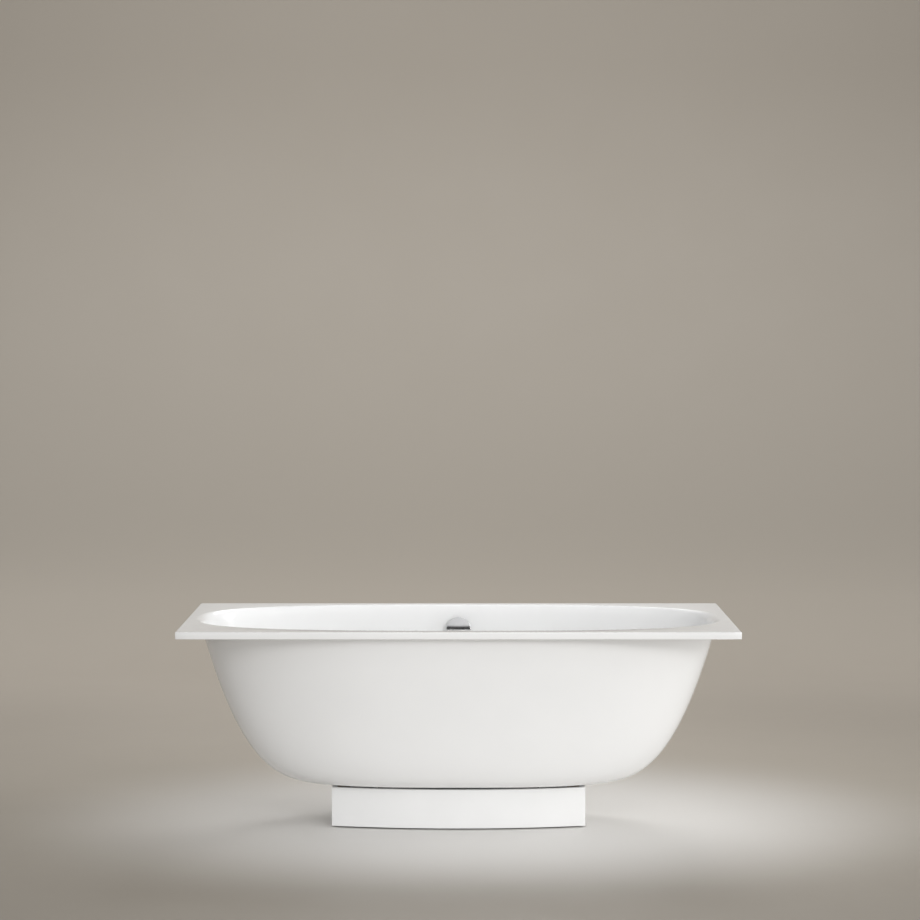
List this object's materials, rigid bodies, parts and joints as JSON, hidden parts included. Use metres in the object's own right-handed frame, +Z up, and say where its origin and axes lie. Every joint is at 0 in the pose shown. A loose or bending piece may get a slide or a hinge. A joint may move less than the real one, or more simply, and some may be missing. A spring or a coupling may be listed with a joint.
{
  "type": "built-in bathtub",
  "caption": "White built-in bathtub: oval basin under a flat rectangular rim, bowed plinth, levelling feet, and an overflow knob that lifts the drain plug through a rod and rocker.",
  "frame": {"origin": "on the floor under the middle of the rim", "axes": "+X along the bath to the right, +Y to the wall behind it, +Z up"},
  "size_m": [1.7, 0.75, 0.64],
  "materials": {
    "shell": "gloss",
    "board": "satin paint",
    "post_wood": "planed",
    "bearer_metal": "mill",
    "chrome": "polished",
    "brass": "machined",
    "steel": "zinc plated",
    "foot_steel": "zinc plated",
    "rubber": "matte",
    "foot_plastic": "matte",
    "pipe_plastic": "satin",
    "nut_plastic": "satin"
  },
  "bodies": {
    "bath": {"bath_shell": "shell", "drain_flange": "chrome", "drain_spider": "chrome", "overflow_plate": "chrome", "rocker_pin": "brass", "bearer_pads": "rubber", "drain_flange_gasket": "rubber", "drain_seal": "rubber", "overflow_outer_gasket": "rubber", "overflow_inner_gasket": "rubber", "pipe_lip_seal": "rubber", "overflow_arm_washer": "rubber", "overflow_pipe_washer": "rubber", "trap_inlet_washer": "rubber", "trap_outlet_washer": "rubber", "plinth_brackets": "steel", "plinth_post_screws": "steel", "plinth_bracket_screws": "steel", "foot_thread_nuts": "steel", "foot_lock_nuts": "steel", "drain_screws": "steel", "overflow_screws": "steel", "plinth_front_panel": "board", "plinth_rear_panel": "board", "plinth_right_panel": "board", "plinth_left_panel": "board", "drain_cup": "pipe_plastic", "trap_bend": "pipe_plastic", "outlet_pipe": "pipe_plastic", "overflow_body": "pipe_plastic", "overflow_pipe": "pipe_plastic", "overflow_elbow": "pipe_plastic", "overflow_arm_nut": "nut_plastic", "overflow_pipe_nut": "nut_plastic", "trap_inlet_nut": "nut_plastic", "trap_outlet_nut": "nut_plastic", "plinth_corner_posts": "post_wood", "right_bearer": "bearer_metal", "left_bearer": "bearer_metal"},
    "knob": {"overflow_knob": "chrome", "knob_grub_screw": "steel", "knob_spindle": "brass", "crank_disc": "brass"},
    "pull_rod": {"pull_rod": "brass"},
    "lift_rocker": {"lift_rocker": "brass"},
    "plug": {"plug_cap": "chrome", "plug_seal": "rubber", "plug_stem": "brass", "plug_adjuster": "brass", "plug_lock_nut": "brass"},
    "back_right_foot": {"back_right_foot_stud": "foot_steel", "back_right_foot_pad": "foot_plastic"},
    "front_right_foot": {"front_right_foot_stud": "foot_steel", "front_right_foot_pad": "foot_plastic"},
    "back_left_foot": {"back_left_foot_stud": "foot_steel", "back_left_foot_pad": "foot_plastic"},
    "front_left_foot": {"front_left_foot_stud": "foot_steel", "front_left_foot_pad": "foot_plastic"}
  },
  "joints": [
    {"name": "knob_turn", "type": "hinge", "parent": "bath", "child": "knob", "pos_m": [0, 0.3206, 0.56], "axis": [0, -0.9916, 0.1297], "range_deg": [0, 90.05]},
    {"name": "rod_slide", "type": "slide", "parent": "bath", "child": "pull_rod", "axis": [0, -0.1297, -0.9916], "range_m": [0, 0.01433]},
    {"name": "rocker_tilt", "type": "hinge", "parent": "bath", "child": "lift_rocker", "pos_m": [0, 0.202, 0.1], "axis": [-1, 0, 0], "range_deg": [0, 8.83]},
    {"name": "plug_lift", "type": "slide", "parent": "bath", "child": "plug", "axis": [0, 0, 1], "range_m": [0, 0.012]},
    {"name": "back_right_foot_screw", "type": "slide", "parent": "bath", "child": "back_right_foot", "axis": [0, 0, -1], "range_m": [0, 0.012]},
    {"name": "front_right_foot_screw", "type": "slide", "parent": "bath", "child": "front_right_foot", "axis": [0, 0, -1], "range_m": [0, 0.012]},
    {"name": "back_left_foot_screw", "type": "slide", "parent": "bath", "child": "back_left_foot", "axis": [0, 0, -1], "range_m": [0, 0.012]},
    {"name": "front_left_foot_screw", "type": "slide", "parent": "bath", "child": "front_left_foot", "axis": [0, 0, -1], "range_m": [0, 0.012]}
  ],
  "couplings": [
    {"joint": "knob_turn", "follows": "plug_lift", "rad_per_m": 130.9},
    {"joint": "rod_slide", "follows": "plug_lift", "ratio": 1.1939},
    {"joint": "rocker_tilt", "follows": "plug_lift", "rad_per_m": 12.833}
  ]
}
